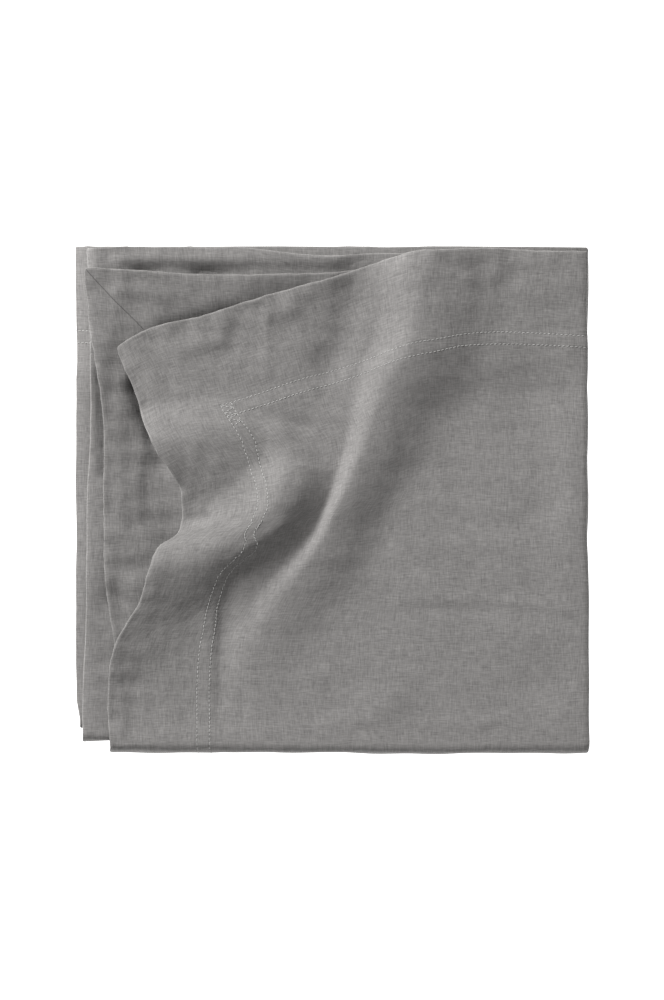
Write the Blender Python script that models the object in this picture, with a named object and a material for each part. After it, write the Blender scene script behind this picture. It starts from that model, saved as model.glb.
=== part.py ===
"""A square linen tablecloth folded in half twice each way, its top layer drawn aside into soft ridges.

The cloth is one sheet. Four panels lie across it, from the hem of the top layer round three folds to
the hem of the layer under it. Four blocks lie along it, folded the same way. A flat grid is laid out
by these folds, the top layer's ridges are added, and the grid is given the cloth's thickness.

The frame's origin is under the middle of the folded cloth, with +X to the right of someone who looks
down on it, +Y away from them and +Z up. The tables are in millimetres.
"""

from collections import namedtuple

import bmesh
import bpy
import numpy as np

MM = 0.001
X, Y = 0, 1

# The sheet's thickness, and the distance from the middle of one layer to the middle of the next
SHEET = 1.0
PITCH = 1.5

# Grid steps over each panel, over each block and round each fold
PANEL_STEPS = (40, 3, 8, 10)
BLOCK_STEPS = (42, 3, 3, 3)
TURN_STEPS = 5
# The top layer's first grid step, as a share of an even one: it is rippled at the hem, flat at the fold
FIRST_STEP = 0.7

# How far each panel lies above the middle of its block, in pitches, in order across the cloth
PANEL_LEVELS = (1.5, -1.5, -0.5, 0.5)
# How high the middle of each block lies, in pitches, and whether it is face up, in order along it
BLOCK_LEVELS = (14.0, 2.0, 6.0, 10.0)
BLOCK_FACES = (1, -1, 1, -1)

# Outlines that show: from the far edge to the near one, or from left to right
TOP_HEM = (
    # x, y
    (-153.0, 108.5), (-147.0, 94.0), (-140.0, 78.0), (-130.0, 49.0), (-122.5, 33.0), (-110.5, 16.0),
    (-106.8, 5.0), (-105.8, -10.0), (-109.0, -22.5), (-117.0, -28.0), (-122.8, -33.0), (-129.5, -50.0),
    (-136.0, -71.5), (-145.0, -85.5), (-153.0, -100.0), (-156.8, -121.0), (-157.8, -143.0),
    (-156.8, -171.5),
)
TOP_FAR_EDGE = (
    (-153.0, 108.5), (-140.0, 116.0), (-122.5, 123.0), (-94.0, 129.0), (-73.0, 136.0), (-30.0, 149.0),
    (-2.0, 156.5), (23.0, 164.5), (44.5, 172.0), (66.0, 176.3), (105.0, 177.2), (140.0, 176.5),
    (178.6, 175.6),
)
SECOND_HEM = (
    (-175.0, 164.4), (-174.6, 156.0), (-172.2, 134.5), (-170.0, 117.0), (-167.0, 99.0), (-164.4, 81.0),
    (-162.4, 63.0), (-161.2, 42.0), (-160.8, 20.0), (-161.2, -36.0), (-160.0, -54.0), (-156.6, -86.0),
    (-154.4, -103.0), (-153.7, -135.0), (-155.0, -168.5),
)
SECOND_FAR_EDGE = (
    (-175.0, 164.4), (-165.0, 164.0), (-147.0, 162.3), (-108.0, 159.8), (-83.0, 159.0), (-2.0, 160.8),
    (23.0, 162.8), (70.0, 164.5), (172.5, 168.5),
)
THIRD_FOLD = (
    (-171.6, 177.6), (-170.8, 163.0), (-169.6, 113.0), (-169.6, 70.0), (-170.8, 28.0), (-171.8, -22.0),
    (-172.6, -71.0), (-174.0, -107.0), (-175.4, -135.0), (-175.6, -165.6),
)
THIRD_FAR_EDGE = (
    (-171.6, 177.6), (-144.0, 178.6), (-71.0, 178.6), (-30.0, 174.4), (-2.0, 173.0), (48.0, 175.0),
    (172.5, 174.0),
)
OUTER_FOLD = (
    (178.6, 175.6), (178.6, 80.0), (175.0, 40.0), (172.8, 6.0), (173.6, -20.0), (176.0, -60.0),
    (178.6, -110.0), (178.6, -171.5),
)
LOWEST_FOLD = (
    (-180.1, 179.3), (-180.1, -138.0), (-179.3, -148.0), (-176.5, -155.6),
)
# Hidden outlines, which only bring a layer in behind the one above it at the near folds
TOP_HEM_BENEATH = ((-166.0, 169.5), (-156.4, -171.5))
SECOND_HEM_BENEATH = ((-168.0, 169.5), (-154.8, -168.5))
THIRD_FOLD_BENEATH = ((-178.5, 169.5), (-175.6, -165.0))
LOWEST_FOLD_BENEATH = ((-179.0, 169.5), (-176.5, -155.6))

# Where each panel starts and ends, as X over each block. A fold's line is where the cloth starts to turn.
ACROSS_LINES = (
    # first block, second, third, fourth
    (TOP_HEM, TOP_HEM_BENEATH, -171.0, -173.0),
    (OUTER_FOLD, 178.5, 177.5, 170.0),
    (THIRD_FOLD, THIRD_FOLD_BENEATH, LOWEST_FOLD_BENEATH, LOWEST_FOLD),
    (171.0, 177.0, 176.0, 168.5),
    (SECOND_HEM, SECOND_HEM_BENEATH, -173.0, -172.0),
)
# Where each block starts and ends, as Y over each panel
ALONG_LINES = (
    # first panel, second, third, fourth
    (TOP_FAR_EDGE, 173.0, THIRD_FAR_EDGE, SECOND_FAR_EDGE),
    (-171.5, -165.0, -165.6, -168.5),
    (169.5, 169.5, 169.5, 169.5),
    (-155.6, -155.6, -155.6, -155.6),
    (176.6, 179.3, 178.6, 177.8),
)
# How far the folds between the blocks reach, as a share of half their height: the outer one is flattened
ALONG_FOLD_REACH = (0.65, 1.0, 1.0)

# A ridge of the top layer: how far it leans for each millimetre of height, and its crest as seen from
# above, from the far end to the near one. Each side has its reach and its fall: 1 leaves a crease at the
# foot, 2 is even and 3 is steepest near the crest.
Ridge = namedtuple("Ridge", "lean_x lean_y crest")
RIDGES = (
    # The long ridge from the far edge down to the lower left
    Ridge(0.0, 0.0, (
        # x, y, height, upper left reach and fall, lower right reach and fall
        (74.0, 205.0, 10.2, 38.0, 1.7, 82.0, 2.2),
        (70.0, 163.0, 11.0, 40.0, 1.7, 80.0, 2.2),
        (63.0, 127.0, 11.5, 40.0, 1.6, 68.0, 2.3),
        (53.0, 99.0, 11.3, 36.0, 1.6, 58.0, 2.4),
        (36.5, 70.0, 10.2, 25.0, 1.6, 51.0, 2.5),
        (24.5, 42.0, 9.2, 16.0, 1.5, 48.0, 2.6),
        (17.0, 25.0, 9.0, 11.5, 1.4, 47.0, 2.6),
        (12.0, 11.0, 9.2, 10.5, 1.3, 46.0, 2.7),
        (7.0, 1.0, 9.0, 9.0, 1.3, 46.0, 2.7),
        (1.0, -12.0, 8.6, 9.0, 1.3, 45.0, 2.6),
        (-5.0, -27.0, 7.8, 9.5, 1.3, 45.0, 2.4),
        (-15.0, -43.0, 6.4, 12.0, 1.4, 45.0, 2.3),
        (-37.0, -71.0, 4.4, 18.0, 1.8, 43.0, 2.2),
        (-53.0, -100.0, 2.6, 30.0, 2.0, 38.0, 2.0),
        (-60.0, -124.0, 1.4, 34.0, 2.0, 34.0, 2.0),
        (-64.0, -152.0, 0.0, 34.0, 2.0, 34.0, 2.0),
    )),
    # The rolled fold that hooks round above the valley
    Ridge(0.2, -0.2, (
        (-38.0, 54.0, 0.0, 12.0, 2.0, 24.0, 2.0),
        (-32.0, 42.0, 0.8, 12.0, 2.0, 26.0, 2.0),
        (-28.0, 31.0, 2.0, 14.0, 2.0, 28.0, 2.0),
        (-27.0, 20.0, 4.4, 19.0, 2.0, 29.0, 1.9),
        (-30.0, 10.0, 6.6, 24.0, 2.1, 30.0, 1.9),
        (-34.5, 1.5, 8.0, 28.0, 2.2, 31.0, 1.9),
        (-41.0, -7.0, 8.5, 30.0, 2.2, 31.0, 1.9),
        (-49.5, -16.0, 8.6, 31.0, 2.2, 30.0, 1.9),
        (-61.5, -23.5, 8.6, 31.0, 2.2, 30.0, 1.9),
        (-76.5, -31.0, 8.0, 31.0, 2.2, 34.0, 2.0),
        (-97.0, -40.5, 6.8, 29.0, 2.2, 44.0, 2.0),
        (-124.0, -51.5, 5.2, 26.0, 2.1, 58.0, 2.0),
        (-142.0, -64.5, 3.4, 23.0, 2.0, 66.0, 2.0),
        (-158.0, -82.5, 1.8, 20.0, 2.0, 66.0, 2.0),
    )),
    # The broad swell that carries it
    Ridge(0.0, 0.0, (
        (-38.0, 54.0, 0.0, 40.0, 2.0, 24.0, 2.0),
        (-27.0, 20.0, 2.2, 50.0, 2.0, 29.0, 2.0),
        (-34.5, 1.5, 3.8, 60.0, 2.0, 31.0, 1.9),
        (-49.5, -16.0, 5.0, 70.0, 2.0, 30.0, 1.9),
        (-76.5, -31.0, 5.8, 76.0, 2.0, 34.0, 2.0),
        (-97.0, -40.5, 6.0, 76.0, 2.0, 44.0, 2.0),
        (-124.0, -51.5, 5.8, 70.0, 2.0, 58.0, 2.0),
        (-142.0, -64.5, 5.2, 60.0, 2.0, 66.0, 2.0),
        (-158.0, -82.5, 4.2, 50.0, 2.0, 66.0, 2.0),
    )),
    # The rise from the corner to the rolled fold, across the side hem
    Ridge(0.0, 0.0, (
        (-26.0, 50.0, 0.0, 24.0, 1.6, 40.0, 2.0),
        (-44.0, 48.0, 2.2, 28.0, 1.6, 48.0, 2.0),
        (-64.0, 45.0, 4.6, 34.0, 1.6, 58.0, 2.0),
        (-86.0, 42.0, 7.6, 36.0, 1.6, 64.0, 2.0),
        (-108.0, 39.0, 10.4, 36.0, 1.6, 68.0, 2.0),
        (-130.0, 36.0, 12.8, 36.0, 1.6, 70.0, 2.0),
        (-152.0, 33.0, 14.5, 36.0, 1.6, 70.0, 2.0),
    )),
    # The springy fold along the right side
    Ridge(0.0, 0.0, (
        (164.0, 190.0, 0.5, 60.0, 2.0, 13.0, 2.0),
        (164.0, 110.0, 1.5, 70.0, 2.0, 13.0, 2.0),
        (163.0, 40.0, 2.4, 80.0, 2.0, 12.0, 2.0),
        (161.0, 6.0, 2.4, 80.0, 2.0, 11.0, 2.0),
        (162.0, -40.0, 2.4, 80.0, 2.0, 12.0, 2.0),
        (164.0, -110.0, 1.5, 70.0, 2.0, 13.0, 2.0),
        (164.0, -171.5, 0.0, 60.0, 2.0, 13.0, 2.0),
    )),
)

# The share of the top panel, from its hem, over which the ridges come to lean fully
LEAN_START = 0.12
# Points on each smooth curve that is drawn through a table's rows
CURVE_SAMPLES = 300

CLOTH_COLOR = (0.216, 0.212, 0.208, 1.0)
CLOTH_ROUGHNESS = 0.92


def smooth_curve(points):
    """Samples of a smooth curve that turns only at its points, even along its length in X and Y."""
    rows = np.array(points, float)
    lengths = np.hypot(*np.diff(rows[:, :2], axis=0).T)
    knots = np.concatenate(([0.0], np.cumsum(lengths)))
    slopes = np.diff(rows, axis=0) / lengths[:, None]
    both = slopes[:-1] * slopes[1:]
    inner = np.where(both > 0, 2 * both / np.where(both > 0, slopes[:-1] + slopes[1:], 1.0), 0.0)
    tangents = np.concatenate((slopes[:1], inner, slopes[-1:]))
    places = np.linspace(0.0, knots[-1], CURVE_SAMPLES)
    index = np.clip(np.searchsorted(knots, places) - 1, 0, len(lengths) - 1)
    span = lengths[index][:, None]
    t = (places - knots[index])[:, None] / span
    return (
        rows[index] * (1 + 2 * t) * (1 - t) ** 2
        + tangents[index] * span * t * (1 - t) ** 2
        + rows[index + 1] * t**2 * (3 - 2 * t)
        + tangents[index + 1] * span * t**2 * (t - 1)
    )


def line_position(line, axis, amounts):
    """A line's X or Y at amounts from 0 to 1 of the way along the other axis."""
    if isinstance(line, float):
        return np.full(len(amounts), line)
    curve = smooth_curve(line)
    other = curve[:, 1 - axis]
    return np.interp(amounts, (other - other[0]) / (other[-1] - other[0]), curve[:, axis])


class Stations:
    """The grid lines in one direction. Each has the run it lies on, or the one before its fold, its place
    from 0 to 1 along that run, and its turn from 0 to 1 round the fold after it."""

    def __init__(self, run_steps, turn_steps, first_step=1.0):
        runs, places, turns = [], [], []
        for run, steps in enumerate(run_steps):
            even = np.linspace(0.0, 1.0, steps + 1)
            widening = even * (first_step + (1 - first_step) * even)
            runs += [run] * (steps + 1)
            places += list(even if run else widening)
            turns += [0.0] * (steps + 1)
            if run < len(run_steps) - 1:
                runs += [run] * (turn_steps - 1)
                places += [1.0] * (turn_steps - 1)
                turns += list(np.linspace(0.0, 1.0, turn_steps + 1)[1:-1])
        self.run = np.array(runs)
        self.place = np.array(places)
        self.turn = np.array(turns)
        self.next_run = np.minimum(self.run + 1, len(run_steps) - 1)
        self.turned = (1 - np.cos(np.pi * self.turn)) / 2
        self.bulge = np.sin(np.pi * self.turn)
        self.backward = self.run % 2 == 1

    def blend(self, values):
        """Values given for each run, carried round the folds between them."""
        values = np.asarray(values, float)
        return values[self.run] * (1 - self.turned) + values[self.next_run] * self.turned

    def line_positions(self, lines, axis):
        """Where each line lies at every station, carried round the folds from run to run."""
        positions = []
        for line in lines:
            here = np.zeros(len(self.run))
            starts = np.zeros(len(line))
            for run, part in enumerate(line):
                on_run = self.run == run
                place = self.place[on_run]
                here[on_run] = line_position(part, axis, 1 - place if run % 2 else place)
                starts[run] = line_position(part, axis, np.array([run % 2]))[0]
            positions.append(here * (1 - self.turned) + starts[self.next_run] * self.turned)
        return np.array(positions)


def between(lines, stations):
    """The way from the line where each station's run starts to the line where it ends."""
    place = stations.place[:, None]
    return lines[stations.run] * (1 - place) + lines[stations.run + 1] * place


def folded_sheet(across, along):
    """X, Y and Z of the folded sheet's middle surface, before its top layer is drawn aside."""
    level = across.blend(PANEL_LEVELS)[:, None] * PITCH
    fold_height = np.append(np.abs(np.diff(PANEL_LEVELS)), 0.0)[across.run] * PITCH
    rightward = np.where(across.backward, -1, 1)
    x = between(along.line_positions(ACROSS_LINES, X), across)
    x = x + (rightward * across.bulge * fold_height / 2)[:, None]

    face = np.array(BLOCK_FACES)[along.run]
    climb = np.append(np.diff(BLOCK_LEVELS), 0.0)[along.run] * PITCH
    reach = np.append(ALONG_FOLD_REACH, 0.0)[along.run]
    farward = np.where(along.backward, 1, -1)
    radius = np.abs(climb) / 2 - np.sign(face * climb) * level
    y = between(across.line_positions(ALONG_LINES, Y), along).T
    y = y + farward * along.bulge * reach * radius

    lowest_middle = (SHEET - PITCH) / 2
    z = lowest_middle + along.blend(BLOCK_LEVELS) * PITCH + face * np.cos(np.pi * along.turn) * level
    return np.stack([x, y, z])


def ridge_shift(ridge, x, y):
    """How far a ridge moves each point of the top layer in X, Y and Z."""
    crest_x, crest_y, height, *sides = smooth_curve(ridge.crest).T
    crest_x = crest_x - ridge.lean_x * height
    crest_y = crest_y - ridge.lean_y * height
    nearest = np.argmin((x[..., None] - crest_x) ** 2 + (y[..., None] - crest_y) ** 2, axis=-1)
    heading = np.stack([np.gradient(crest_x), np.gradient(crest_y)])
    heading = (heading / np.hypot(*heading))[:, nearest]
    aside = heading[X] * (y - crest_y[nearest]) - heading[Y] * (x - crest_x[nearest])
    reach_left, fall_left, reach_right, fall_right = (side[nearest] for side in sides)
    away = np.clip(np.abs(aside) / np.where(aside < 0, reach_left, reach_right), 0, 1)
    lift = height[nearest] * np.cos(away * np.pi / 2) ** np.where(aside < 0, fall_left, fall_right)
    return np.stack([ridge.lean_x * lift, ridge.lean_y * lift, lift])


def cloth_points(across, along):
    """The middle surface of the whole cloth, in metres, as an array of grid columns and rows."""
    points = folded_sheet(across, along)
    top = np.flatnonzero((across.run == 0) & (across.turn == 0))
    first = np.flatnonzero((along.run == 0) & (along.turn == 0))
    area = np.ix_((0, 1, 2), top, first)
    x, y, _ = points[area]
    shift = sum(ridge_shift(ridge, x, y) for ridge in RIDGES)
    shift[:2] *= np.clip(across.place[top] / LEAN_START, 0, 1)[:, None]
    points[area] += shift
    return np.moveaxis(points, 0, -1) * MM


def cloth_material():
    """Washed grey linen."""
    material = bpy.data.materials.new("linen")
    material.use_nodes = True
    shader = material.node_tree.nodes["Principled BSDF"]
    shader.inputs["Base Color"].default_value = CLOTH_COLOR
    shader.inputs["Roughness"].default_value = CLOTH_ROUGHNESS
    shader.inputs["Metallic"].default_value = 0.0
    return material


def build_tablecloth():
    """One sheet: a grid laid out along the folds, then given the cloth's thickness."""
    across = Stations(PANEL_STEPS, TURN_STEPS, FIRST_STEP)
    along = Stations(BLOCK_STEPS, TURN_STEPS)
    points = cloth_points(across, along)
    columns, rows = len(across.run), len(along.run)

    grid = bmesh.new()
    bmesh.ops.create_grid(grid, x_segments=columns - 1, y_segments=rows - 1, size=0.5)
    for vert in grid.verts:
        column = round((vert.co.x + 0.5) * (columns - 1))
        row = round((0.5 - vert.co.y) * (rows - 1))
        vert.co = points[column, row]
    mesh = bpy.data.meshes.new("tablecloth")
    grid.to_mesh(mesh)
    grid.free()
    mesh.shade_smooth()

    cloth = bpy.data.objects.new("tablecloth", mesh)
    bpy.context.collection.objects.link(cloth)
    mesh.materials.append(cloth_material())
    thickness = cloth.modifiers.new("thickness", "SOLIDIFY")
    thickness.thickness = SHEET * MM
    thickness.offset = 0.0


def main():
    for item in list(bpy.data.objects):
        bpy.data.objects.remove(item)
    build_tablecloth()


main()
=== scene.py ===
from collections import namedtuple
from itertools import product
from math import cos, pi, radians, sin

import bmesh
import bpy
import numpy as np
from bpy.props import FloatProperty, FloatVectorProperty, PointerProperty
from mathutils import Matrix, Vector, noise


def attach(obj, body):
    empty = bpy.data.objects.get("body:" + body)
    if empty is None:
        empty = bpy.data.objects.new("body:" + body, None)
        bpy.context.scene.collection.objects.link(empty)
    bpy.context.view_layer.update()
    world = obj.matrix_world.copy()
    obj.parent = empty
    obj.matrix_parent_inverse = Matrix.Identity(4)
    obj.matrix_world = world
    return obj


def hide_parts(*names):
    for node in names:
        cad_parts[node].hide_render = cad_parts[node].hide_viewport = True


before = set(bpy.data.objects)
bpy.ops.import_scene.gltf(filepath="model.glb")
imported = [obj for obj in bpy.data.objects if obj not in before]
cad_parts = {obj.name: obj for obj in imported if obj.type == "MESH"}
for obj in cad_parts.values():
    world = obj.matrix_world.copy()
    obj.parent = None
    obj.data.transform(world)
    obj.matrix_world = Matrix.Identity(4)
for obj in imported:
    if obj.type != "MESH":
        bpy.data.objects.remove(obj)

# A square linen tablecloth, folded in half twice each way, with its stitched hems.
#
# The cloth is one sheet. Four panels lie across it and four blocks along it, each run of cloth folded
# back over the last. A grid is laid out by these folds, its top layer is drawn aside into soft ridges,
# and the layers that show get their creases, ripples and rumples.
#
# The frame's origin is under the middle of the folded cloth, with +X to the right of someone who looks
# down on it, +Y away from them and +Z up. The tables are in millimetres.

bl_info = {
    "name": "Folded Linen Tablecloth",
    "version": (1, 0, 0),
    "blender": (4, 5, 0),
    "location": "View3D > Sidebar > Tablecloth",
    "description": "Makes a tablecloth folded into a square packet, with stitched and mitred hems",
    "category": "Add Mesh",
}

MM = 0.001
X, Y, Z = 0, 1, 2
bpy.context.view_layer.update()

# The distance from the middle of one layer to the middle of the next, and the lowest layer's height
PITCH = 1.5
LOWEST_MIDDLE = 0.9

# Grid steps over each panel and each block, and the first step's share of an even one, under 1 where
# the start is finer and over 1 where the end is
PANEL_GRADES = ((123, 0.75), (12, 1.75), (50, 0.5), (54, 1.5))
BLOCK_GRADES = ((133, 0.85), (4, 1.0), (4, 1.0), (25, 1.0))
TURN_STEPS = 6
# Extra grid lines beside the outer edges, as shares of a panel or a block, which round the hems
EDGE_PLACES = (0.0012, 0.0036)

# How far each panel lies above the middle of its block, in pitches, in order across the cloth
PANEL_LEVELS = (1.5, -1.5, -0.5, 0.5)
# How high the middle of each block lies, in pitches, and whether it is face up, in order along it
BLOCK_LEVELS = (14.0, 2.0, 6.0, 10.0)
BLOCK_FACES = (1, -1, 1, -1)

# Outlines that show: from the far edge to the near one, or from left to right
TOP_HEM = (
    # x, y
    (-153, 108.5), (-147, 94), (-140, 78), (-130, 49), (-122.5, 33), (-110.5, 16),
    (-106.8, 5), (-105.8, -10), (-109, -22.5), (-117, -28), (-122.8, -33), (-129.5, -50),
    (-136, -71.5), (-145, -85.5), (-153, -100), (-156.8, -121), (-157.8, -143),
    (-156.8, -171.5),
)
TOP_FAR_EDGE = (
    (-153, 108.5), (-140, 116), (-122.5, 123), (-94, 129), (-73, 136), (-30, 149),
    (-2, 156.5), (23, 164.5), (44.5, 172), (66, 176.3), (105, 177.2), (140, 176.5),
    (179.2, 175),
)
SECOND_HEM = (
    (-175, 164.4), (-174.6, 156), (-172.2, 134.5), (-170, 117), (-167, 99), (-164.4, 81),
    (-162.4, 63), (-161.2, 42), (-160.8, 20), (-161.2, -36), (-160, -54), (-156.6, -86),
    (-154.4, -103), (-153.7, -135), (-155, -172.3),
)
SECOND_FAR_EDGE = (
    (-175, 164.4), (-165, 164), (-147, 162.3), (-108, 159.8), (-83, 159), (-2, 160.8),
    (23, 162.8), (70, 164.5), (172.5, 168.5),
)
THIRD_FOLD = (
    (-171.6, 177.6), (-170.8, 163), (-169.6, 113), (-169.6, 70), (-170.8, 28), (-171.8, -22),
    (-172.6, -71), (-174, -107), (-175.4, -135), (-175.6, -167.2),
)
THIRD_FAR_EDGE = (
    (-171.6, 177.6), (-144, 178.6), (-71, 178.6), (-30, 174.4), (-2, 173), (48, 175),
    (172.5, 174),
)
OUTER_FOLD = (
    (179.2, 174.6), (178.6, 142), (179, 110), (179.2, 60), (178.6, 30), (178.7, 6),
    (178.6, -15), (179.4, -45), (180.4, -80), (180.4, -171.5),
)
LOWEST_FOLD = (
    (-180.1, 179.3), (-180.1, -146), (-179.5, -151), (-177.6, -155.6),
)
NEAR_FOLD = (
    (-156.8, -174), (-94, -174), (-23, -174.1), (48, -174.9), (119, -174.7), (162, -174.8),
    (179.8, -174.5),
)
FAR_HEM_BENEATH = ((-175, 179.2), (-94, 179.1), (48, 179.1), (119, 179.2), (178.5, 178.3))
# Hidden outlines, which only bring a layer in behind the ones beside it
INNER_FAR_HEM = ((-170, 177.2), (150, 176.6), (178.5, 175.4))
TOP_HEM_BENEATH = ((-166, 169.5), (-156.4, -174.7))
SECOND_HEM_BENEATH = ((-168, 169.5), (-154.8, -171.6))
THIRD_FOLD_BENEATH = ((-178.5, 169.5), (-175.6, -166.5))
LOWEST_FOLD_BENEATH = ((-179, 169.5), (-177.6, -155.6))

# Where each panel starts and ends, as X over each block. A fold's line is where the cloth starts to
# turn.
ACROSS_LINES = (
    # first block, second, third, fourth
    (TOP_HEM, TOP_HEM_BENEATH, -171, -173),
    (OUTER_FOLD, 178.5, 178.5, 179.6),
    (THIRD_FOLD, THIRD_FOLD_BENEATH, LOWEST_FOLD_BENEATH, LOWEST_FOLD),
    (171, 177, 176, 168.5),
    (SECOND_HEM, SECOND_HEM_BENEATH, -173, -172),
)
# Where each block starts and ends, as Y over each panel
ALONG_LINES = (
    # first panel, second, third, fourth
    (TOP_FAR_EDGE, 173, THIRD_FAR_EDGE, SECOND_FAR_EDGE),
    (NEAR_FOLD, -166.5, -167.2, -172.3),
    (169.5, 169.5, 169.5, 169.5),
    (-155.6, -155.6, -155.6, -155.6),
    (INNER_FAR_HEM, FAR_HEM_BENEATH, FAR_HEM_BENEATH, INNER_FAR_HEM),
)
# How far the folds between the panels and between the blocks reach, as shares of half their heights:
# the outer ones are flattened
ACROSS_FOLD_REACH = (0.48, 1, 1)
ALONG_FOLD_REACH = (0.4, 1, 1)

# The crests of the top layer's ridges as seen from above, from the far end to the near one. Each side
# has its reach and its fall: 1 leaves a crease at the foot, 2 is even and 3 is steepest near the crest.

# The long ridge from the far edge down to the lower left
LONG_RIDGE = (
    # x, y, height, upper left reach and fall, lower right reach and fall
    (72, 205, 6.8, 38, 1.7, 58, 2),
    (67, 163, 8.8, 36, 1.7, 63, 2.1),
    (61.5, 129, 11, 31, 1.6, 68, 2.2),
    (57, 109, 11.8, 29, 1.6, 67, 2.3),
    (50.5, 96, 11.6, 28, 1.6, 61, 2.3),
    (41, 82, 10.8, 25, 1.6, 58, 2.4),
    (35, 68, 9.9, 21.5, 1.6, 55, 2.4),
    (24.5, 42, 8.8, 15.5, 1.5, 52, 2.5),
    (17, 25, 9, 11, 1.4, 46, 2.6),
    (12, 11, 9.2, 10.5, 1.3, 46, 2.7),
    (7, 1, 9, 9, 1.3, 46, 2.7),
    (1, -12, 8.6, 9, 1.3, 45, 2.6),
    (-5, -27, 7.8, 9.5, 1.3, 45, 2.4),
    (-15, -43, 6.4, 12, 1.4, 45, 2.3),
    (-37, -71, 4, 17, 1.8, 43, 2.2),
    (-53, -100, 2.1, 19, 2, 38, 2),
    (-60, -124, 1.1, 20, 2, 34, 2),
    (-64, -152, 0, 26, 2, 34, 2),
)
# The rolled fold that hooks round above the valley
ROLLED_FOLD = (
    (-52, 54, 0, 14, 2, 14, 2),
    (-46, 53, 0.6, 14, 2, 13, 2),
    (-38, 48.5, 1.5, 14, 2, 12, 2),
    (-33, 41, 2.2, 20, 2.4, 14, 2),
    (-30.5, 31.5, 4, 23, 2.4, 24, 1.7),
    (-30, 22, 7.6, 26, 2.4, 33, 1.6),
    (-31.5, 13, 10.4, 29, 2.4, 35, 1.5),
    (-34.5, 5, 11.2, 31, 2.4, 36, 1.5),
    (-40, -5.5, 10.8, 32, 2.4, 35, 1.6),
    (-50.5, -16, 10.4, 34, 2.4, 33, 1.8),
    (-63, -24, 10.2, 36, 2.4, 31, 1.9),
    (-77, -30.5, 9.2, 38, 2.4, 33, 2),
    (-97, -40, 7.6, 33, 2.2, 40, 2),
    (-124, -51, 5.6, 28, 2.1, 48, 2),
    (-142, -64, 3.6, 24, 2, 50, 2),
    (-158, -82, 1.8, 20, 2, 50, 2),
)
# The broad swell that carries it
BROAD_SWELL = (
    (-44, 60, 0, 40, 2, 30, 2),
    (-31, 20.5, 1.2, 40, 2, 40, 2),
    (-36, 2, 3.4, 52, 2, 48, 1.9),
    (-50, -15.5, 5, 58, 2, 52, 1.9),
    (-77, -30.5, 6, 62, 2, 56, 2),
    (-97, -40, 6.4, 62, 2, 60, 2),
    (-124, -51, 6.4, 60, 2, 62, 2),
    (-142, -64, 5.6, 54, 2, 60, 2),
    (-158, -82, 4.4, 48, 2, 58, 2),
)
# The rise from the corner to the rolled fold, across the side hem
SIDE_RISE = (
    (-26, 50, 0, 24, 1.6, 40, 2),
    (-44, 48, 2.4, 28, 1.6, 48, 2),
    (-64, 45, 5.4, 34, 1.6, 56, 2),
    (-86, 41, 8.6, 36, 1.6, 60, 2),
    (-108, 36, 11.6, 36, 1.6, 62, 2),
    (-130, 31, 14.6, 36, 1.6, 64, 2),
    (-152, 26, 17.4, 36, 1.6, 64, 2),
)
# The springy fold along the right side
RIGHT_FOLD = tuple((x, y, height, reach, 1.8, 14, 2) for x, y, height, reach in (
    (178, 190, 0, 40), (178, 110, 0.2, 40), (178, 60, 1, 38), (177.5, 20, 2.4, 36),
    (177.5, -20, 2.2, 36), (178, -60, 1.1, 38), (178, -110, 0.3, 40), (178, -171.5, 0, 40),
))
# How far each ridge leans for each millimetre of its height, and its crest
Ridge = namedtuple("Ridge", "lean_x lean_y crest")
RIDGES = (
    Ridge(0, 0, LONG_RIDGE),
    Ridge(0.2, -0.2, ROLLED_FOLD),
    Ridge(0, 0, BROAD_SWELL),
    Ridge(0, 0, SIDE_RISE),
    Ridge(0, 0, RIGHT_FOLD),
)
# The share of the top panel, from its hem, over which the ridges come to lean fully
LEAN_START = 0.12
# Points on each smooth curve that is drawn through a table's rows
CURVE_SAMPLES = 300

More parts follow.
